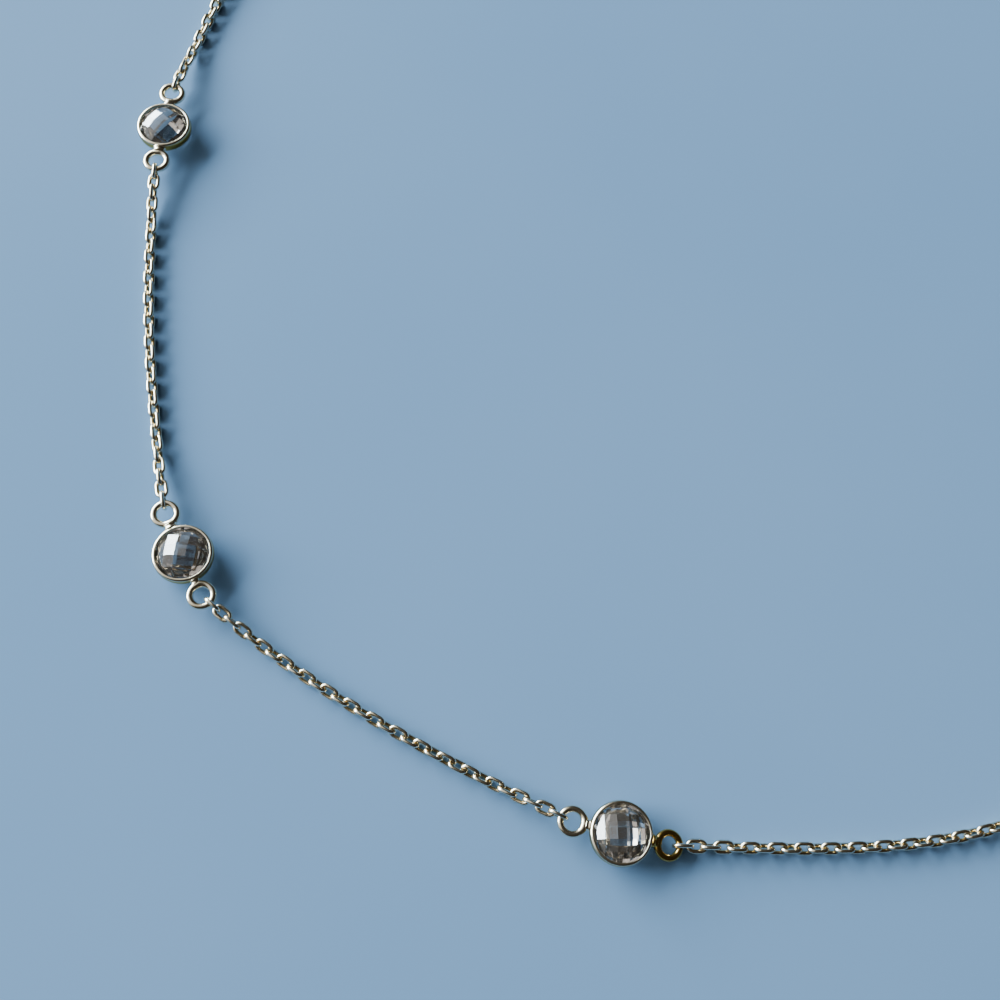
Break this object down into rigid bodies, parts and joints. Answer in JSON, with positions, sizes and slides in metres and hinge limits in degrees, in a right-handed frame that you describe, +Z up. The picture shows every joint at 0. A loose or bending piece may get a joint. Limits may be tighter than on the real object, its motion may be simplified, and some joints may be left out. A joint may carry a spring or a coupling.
{
  "type": "station necklace",
  "caption": "Fine oval-link chain necklace with clear round checkerboard-cut stones in gold-coloured rims along it, lying flat as a closed loop with a ring clasp.",
  "frame": {"origin": "middle of the loop's bounding box, on the surface that the necklace lies on", "axes": "+Z up from the surface; +X towards the side with the clasp; +Y towards the far side of the loop as the picture sees it"},
  "size_m": [0.1229, 0.1246, 0.003],
  "materials": {
    "metal": "polished pale gold plate",
    "glass": "clear, facet-cut and polished"
  },
  "bodies": {
    "root": {"bezel_1": "metal", "bezel_2": "metal", "bezel_3": "metal", "bezel_4": "metal", "bezel_5": "metal", "bezel_6": "metal", "bezel_7": "metal", "bezel_8": "metal", "stone_1": "glass", "stone_2": "glass", "stone_3": "glass", "stone_4": "glass", "stone_5": "glass", "stone_6": "glass", "stone_7": "glass", "stone_8": "glass", "chain_1": "metal", "chain_2": "metal", "chain_3": "metal", "chain_4": "metal", "chain_5": "metal", "chain_6": "metal", "chain_7": "metal", "clasp_chain_1": "metal", "clasp_chain_2": "metal", "clasp": "metal", "clasp_ring": "metal"}
  },
  "joints": []
}
